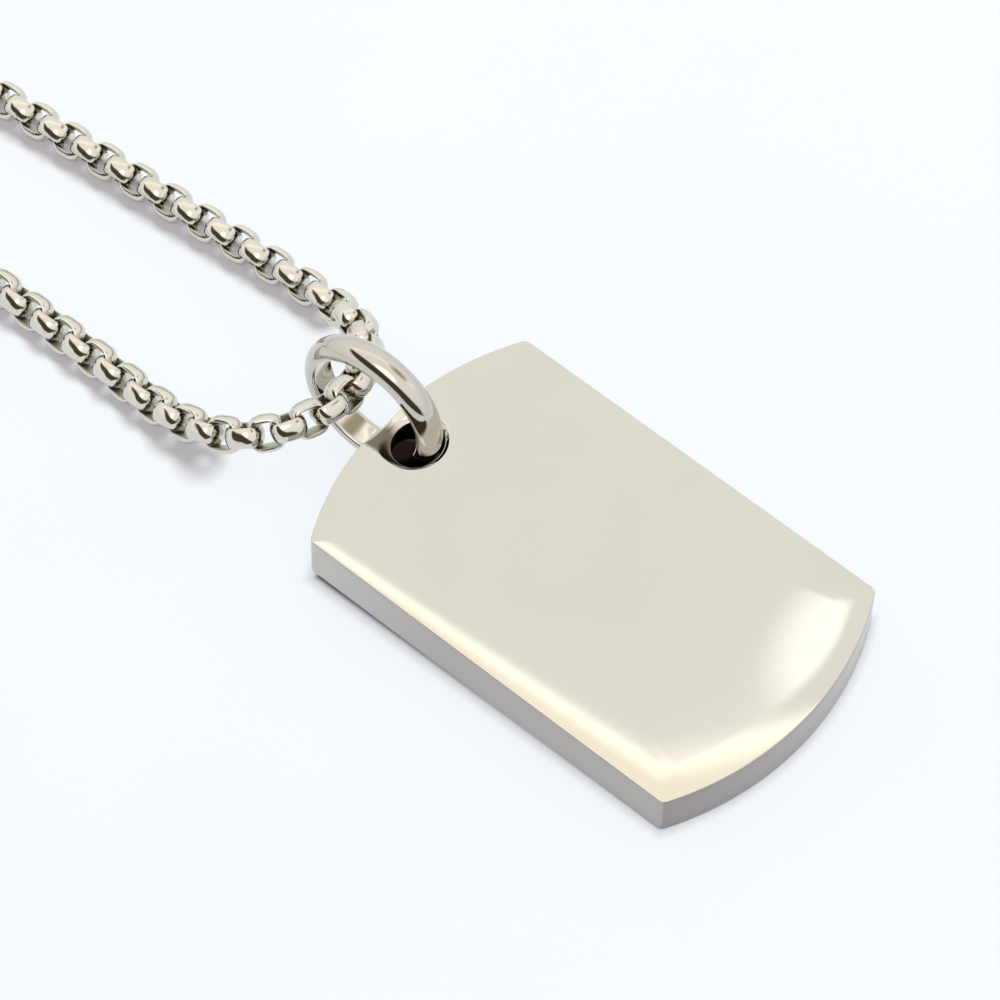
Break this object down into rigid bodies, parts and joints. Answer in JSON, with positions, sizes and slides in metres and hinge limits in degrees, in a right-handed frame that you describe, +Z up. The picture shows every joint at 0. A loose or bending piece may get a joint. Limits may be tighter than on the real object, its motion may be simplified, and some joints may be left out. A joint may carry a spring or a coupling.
{
  "type": "dog tag necklace",
  "caption": "Thick polished metal tag with a scooped hole, hung by a wide bail ring on a round box chain laid out as an open loop with a plain barrel clasp.",
  "frame": {"origin": "on the surface that the necklace lies on, under the middle of its outline", "axes": "+Z up, +Y from the tag along the chain loop to the clasp, +X to the right seen from the tag's foot"},
  "size_m": [0.1022, 0.254, 0.0122],
  "materials": {
    "tag_steel": "mirror polished stainless steel, warm white",
    "ring_steel": "mirror polished stainless steel, slightly darker",
    "chain_steel": "polished stainless steel box links"
  },
  "bodies": {
    "root": {"tag": "tag_steel", "bail_ring": "ring_steel", "chain_front": "chain_steel", "chain_back": "chain_steel", "clasp": "chain_steel"}
  },
  "joints": []
}
